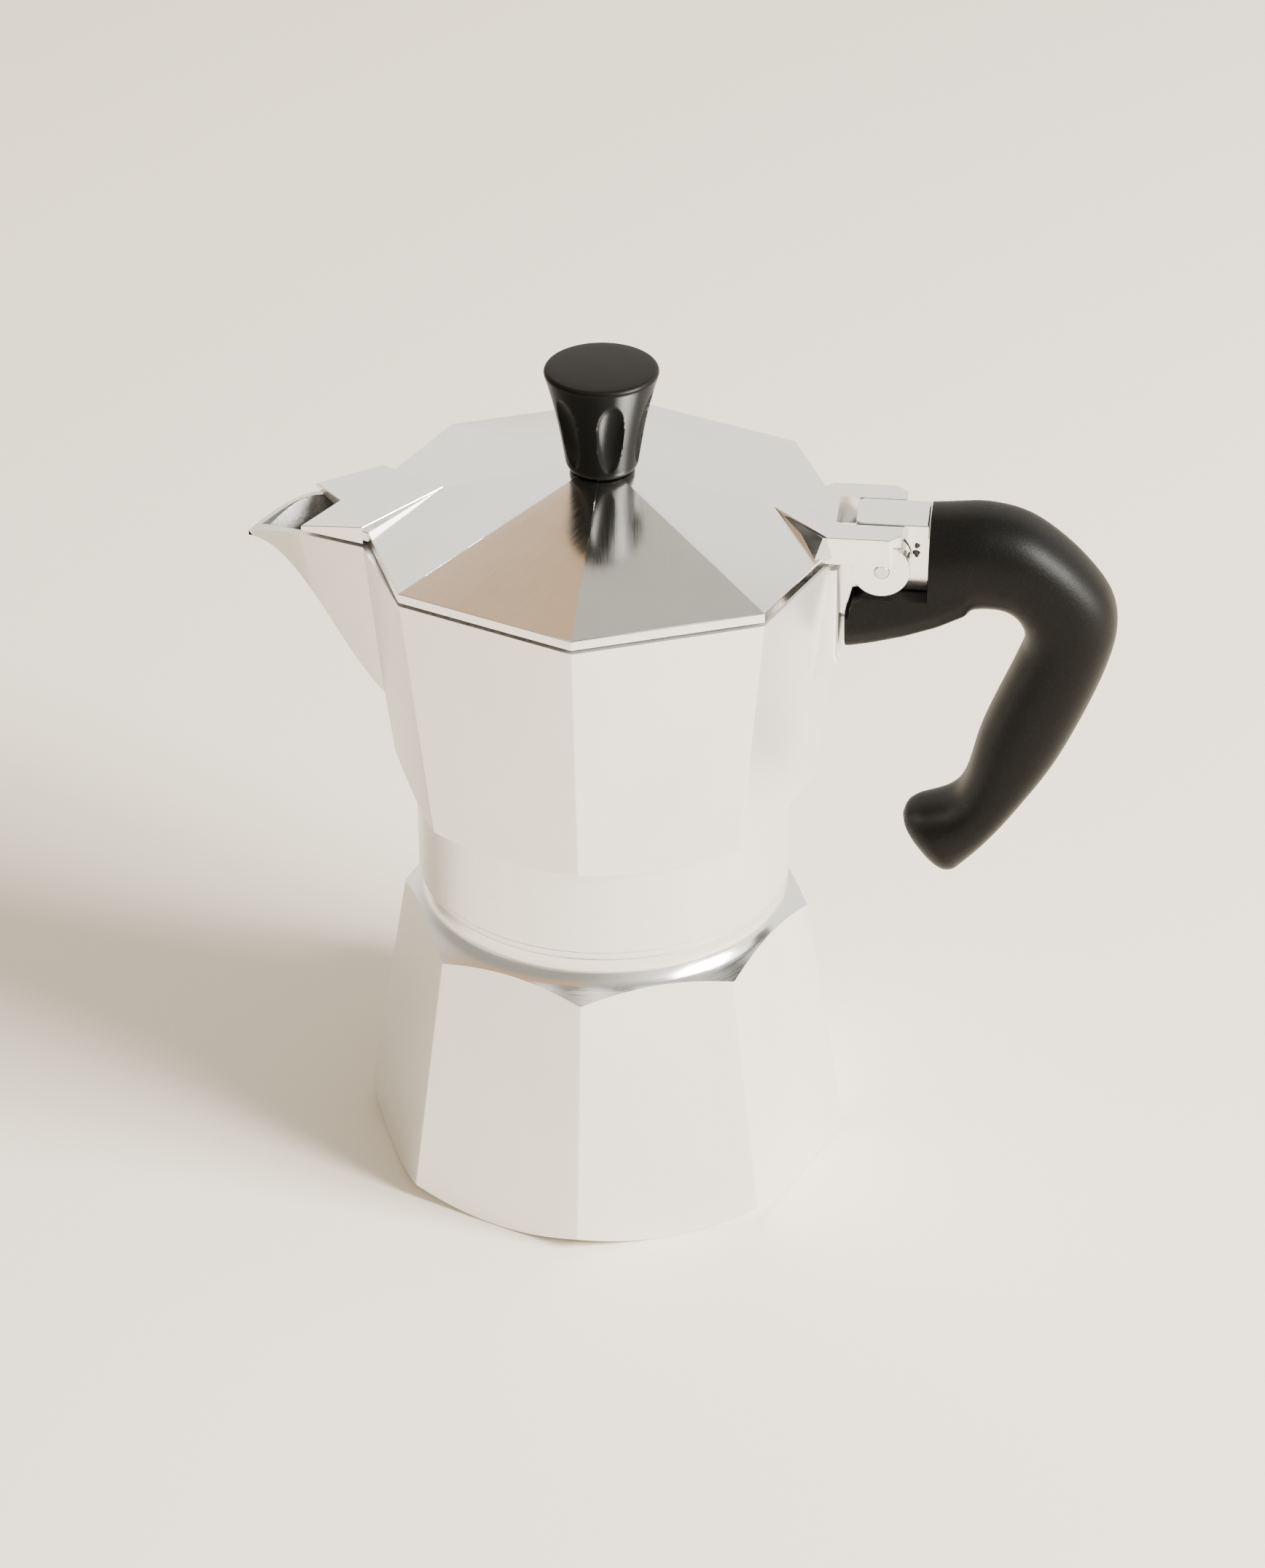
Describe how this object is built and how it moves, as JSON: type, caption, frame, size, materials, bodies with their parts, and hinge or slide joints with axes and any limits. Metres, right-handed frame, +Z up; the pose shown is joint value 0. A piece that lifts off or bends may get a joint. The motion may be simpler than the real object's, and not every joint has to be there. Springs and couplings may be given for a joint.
{
  "type": "moka pot",
  "caption": "Eight-sided stove-top coffee pot with a screwed boiler, funnel, filter, spouted collector, hinged lid, knob, handle and safety valve.",
  "frame": {"origin": "on the surface that the pot stands on, under the axis of the boiler and collector", "axes": "+Z up along the pot's axis, +X towards the hinge and handle, -X towards the spout"},
  "size_m": [0.1618, 0.094, 0.1651],
  "materials": {
    "satin_aluminium": "satin, finely brushed up and down on each flat, turned bright on the shoulder",
    "polished_aluminium": "polished",
    "pressed_aluminium": "pressed sheet, as drawn",
    "steel": "bright drawn",
    "brass": "turned",
    "black_handle": "fine matte grain",
    "black_knob": "satin gloss",
    "silicone": "smooth, slightly cloudy",
    "fibre": "dull"
  },
  "bodies": {
    "boiler_body": {"boiler": "satin_aluminium", "valve_body": "brass", "valve_washer": "fibre", "funnel": "pressed_aluminium", "funnel_screen": "pressed_aluminium"},
    "valve_plunger": {"valve_pin": "brass", "valve_seal": "silicone", "valve_spring": "steel"},
    "seal": {"gasket": "silicone", "filter_plate": "pressed_aluminium"},
    "collector_body": {"collector": "satin_aluminium", "column_cap": "pressed_aluminium", "hinge_pin": "steel", "handle": "black_handle", "handle_pin": "steel"},
    "lid_body": {"lid": "polished_aluminium", "knob": "black_knob", "knob_insert": "brass", "knob_screw": "steel", "knob_washer": "steel"}
  },
  "joints": [
    {"name": "seal_lift", "type": "slide", "parent": "boiler_body", "child": "seal", "axis": [0, 0, 1], "range_m": [0, 0.00676]},
    {"name": "collector_turn", "type": "hinge", "parent": "seal", "child": "collector_body", "pos_m": [0, 0, 0.0594], "axis": [0, 0, 1], "range_deg": [0, 810]},
    {"name": "lid_open", "type": "hinge", "parent": "collector_body", "child": "lid_body", "pos_m": [0.0522, 0, 0.1312], "axis": [0, 1, 0], "range_deg": [0, 95]},
    {"name": "valve_lift", "type": "slide", "parent": "boiler_body", "child": "valve_plunger", "axis": [-0.3785, 0.9137, 0.1478], "range_m": [0, 0.0015], "stiffness_N_per_m": 2000, "deforming": ["valve_spring"]}
  ],
  "couplings": [
    {"joint": "seal_lift", "follows": "collector_turn", "m_per_rad": 0.00047746}
  ]
}
